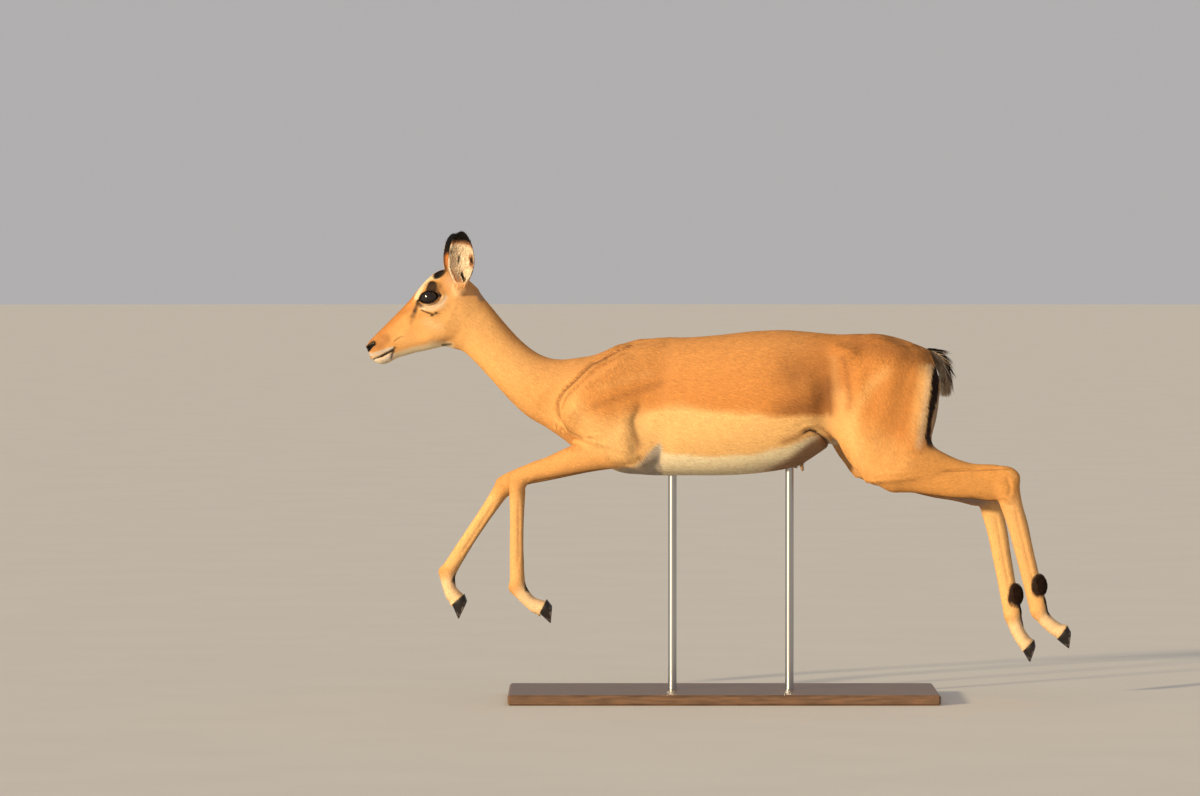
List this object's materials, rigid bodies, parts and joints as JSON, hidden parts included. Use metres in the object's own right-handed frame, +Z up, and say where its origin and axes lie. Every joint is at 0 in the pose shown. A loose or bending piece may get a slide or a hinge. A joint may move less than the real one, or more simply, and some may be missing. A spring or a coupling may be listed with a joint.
{
  "type": "impala antelope",
  "caption": "Life-size still model of a female impala in mid-leap, forelegs folded and hind legs stretched back, held above a flat base by upright rods.",
  "frame": {"origin": "on the floor, under the middle of the whole model's length and width", "axes": "+Z up; the animal faces -X; its left side faces -Y"},
  "size_m": [1.4769, 0.4, 0.9836],
  "materials": {
    "coat": "short reddish-tan fur",
    "pale_coat": "short whitish fur",
    "gland_tuft": "short black fur",
    "ear": "short fur, white inside, black at the tip",
    "tail": "white fur with a dark line along the back",
    "eye": "wet gloss",
    "hoof": "ridged dark horn",
    "stand_board": "satin varnish",
    "stand_rod": "satin"
  },
  "bodies": {
    "root": {"head": "coat", "neck": "coat", "trunk": "coat", "foreleg_left_upper": "coat", "foreleg_right_upper": "coat", "foreleg_left_cannon": "coat", "foreleg_right_cannon": "coat", "hindleg_left_upper": "coat", "hindleg_right_upper": "coat", "hindleg_left_cannon": "coat", "hindleg_right_cannon": "coat", "lower_lip": "pale_coat", "foreleg_left_pastern": "pale_coat", "foreleg_right_pastern": "pale_coat", "hindleg_left_pastern": "pale_coat", "hindleg_right_pastern": "pale_coat", "hindleg_left_gland": "gland_tuft", "hindleg_right_gland": "gland_tuft", "ear_left": "ear", "ear_right": "ear", "tail": "tail", "eye_left": "eye", "eye_right": "eye", "foreleg_left_hoof_inner": "hoof", "foreleg_left_hoof_outer": "hoof", "foreleg_right_hoof_inner": "hoof", "foreleg_right_hoof_outer": "hoof", "hindleg_left_hoof_inner": "hoof", "hindleg_left_hoof_outer": "hoof", "hindleg_right_hoof_inner": "hoof", "hindleg_right_hoof_outer": "hoof", "stand_base": "stand_board", "stand_rod_front": "stand_rod", "stand_rod_rear": "stand_rod"}
  },
  "joints": []
}
